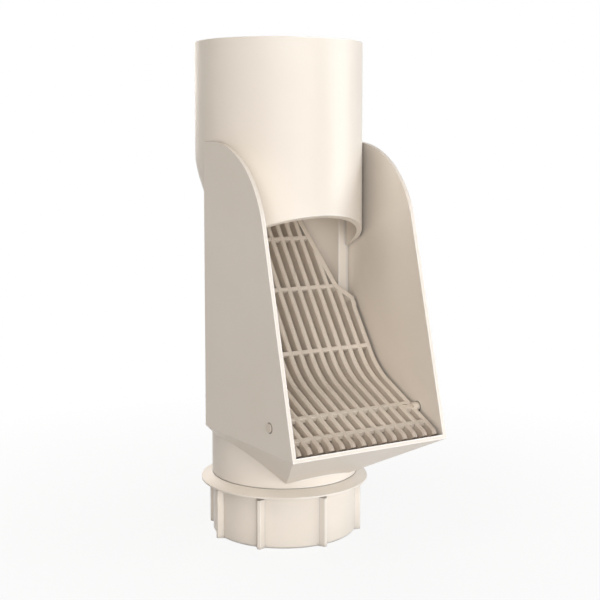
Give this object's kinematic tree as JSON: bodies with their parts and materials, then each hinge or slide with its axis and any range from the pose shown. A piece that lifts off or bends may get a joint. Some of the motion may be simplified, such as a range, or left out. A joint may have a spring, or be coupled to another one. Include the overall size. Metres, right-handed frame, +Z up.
{
  "type": "downpipe leaf trap",
  "caption": "Moulded rainwater downpipe leaf trap: round inlet socket over a sloping barred grate between two cheeks, hopper and ribbed outlet spigot below.",
  "frame": {"origin": "centre of the outlet spigot's bottom rim, on the outlet pipe's axis; the part stands on it", "axes": "+Z up along the pipes towards the inlet socket, the open leaf mouth faces -Y, +X to the right seen from the front"},
  "size_m": [0.1094, 0.1586, 0.31],
  "materials": {
    "housing": "satin",
    "leaf_grate": "satin",
    "outlet_adapter": "satin"
  },
  "bodies": {
    "housing": {"housing": "housing", "outlet_adapter": "outlet_adapter"},
    "grate": {"leaf_grate": "leaf_grate"}
  },
  "joints": [
    {"name": "grate_tilt", "type": "hinge", "parent": "housing", "child": "grate", "pos_m": [0, -0.0732, 0.0865], "axis": [1, 0, 0], "range_deg": [0, 5]}
  ]
}
